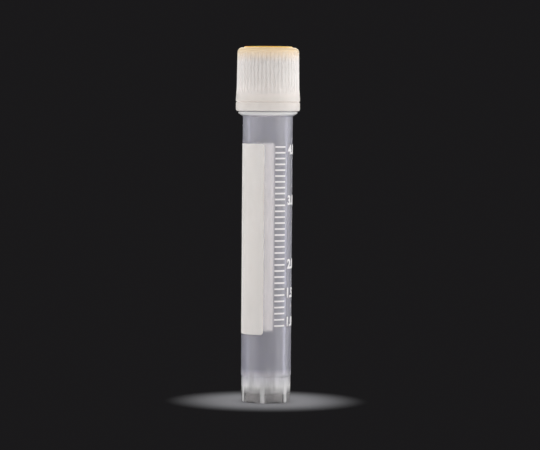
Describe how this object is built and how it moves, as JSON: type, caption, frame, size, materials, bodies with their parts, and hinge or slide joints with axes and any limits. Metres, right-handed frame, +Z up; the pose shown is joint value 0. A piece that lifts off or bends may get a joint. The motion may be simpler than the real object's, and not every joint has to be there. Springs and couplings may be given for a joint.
{
  "type": "cryogenic vial",
  "caption": "Slim self-standing freezer vial of translucent plastic, with a ribbed screw cap, a coloured cap insert, a volume scale and a white panel to write on.",
  "frame": {"origin": "middle of the ring that the vial stands on", "axes": "+Z up along the vial's own axis; -Y faces the volume scale's side"},
  "size_m": [0.016, 0.016, 0.0888],
  "materials": {
    "tube_plastic": "natural polypropylene, cloudy and see-through, smooth",
    "cap_plastic": "natural polypropylene, milky, satin",
    "insert_plastic": "yellow polypropylene, satin",
    "silicone": "translucent silicone",
    "ink": "matt white print"
  },
  "bodies": {
    "tube": {"vial_tube": "tube_plastic", "writing_panel": "ink", "volume_scale": "ink"},
    "seal": {"seal_washer": "silicone"},
    "cap": {"screw_cap": "cap_plastic", "cap_insert": "insert_plastic"}
  },
  "joints": [
    {"name": "cap_lift", "type": "slide", "parent": "tube", "child": "seal", "axis": [0, 0, 1], "range_m": [0, 0.0135]},
    {"name": "cap_turn", "type": "hinge", "parent": "seal", "child": "cap", "pos_m": [0, 0, 0.0727], "axis": [0, 0, 1], "range_deg": [0, 1620]}
  ],
  "couplings": [
    {"joint": "cap_turn", "follows": "cap_lift", "rad_per_m": 2094.4}
  ]
}
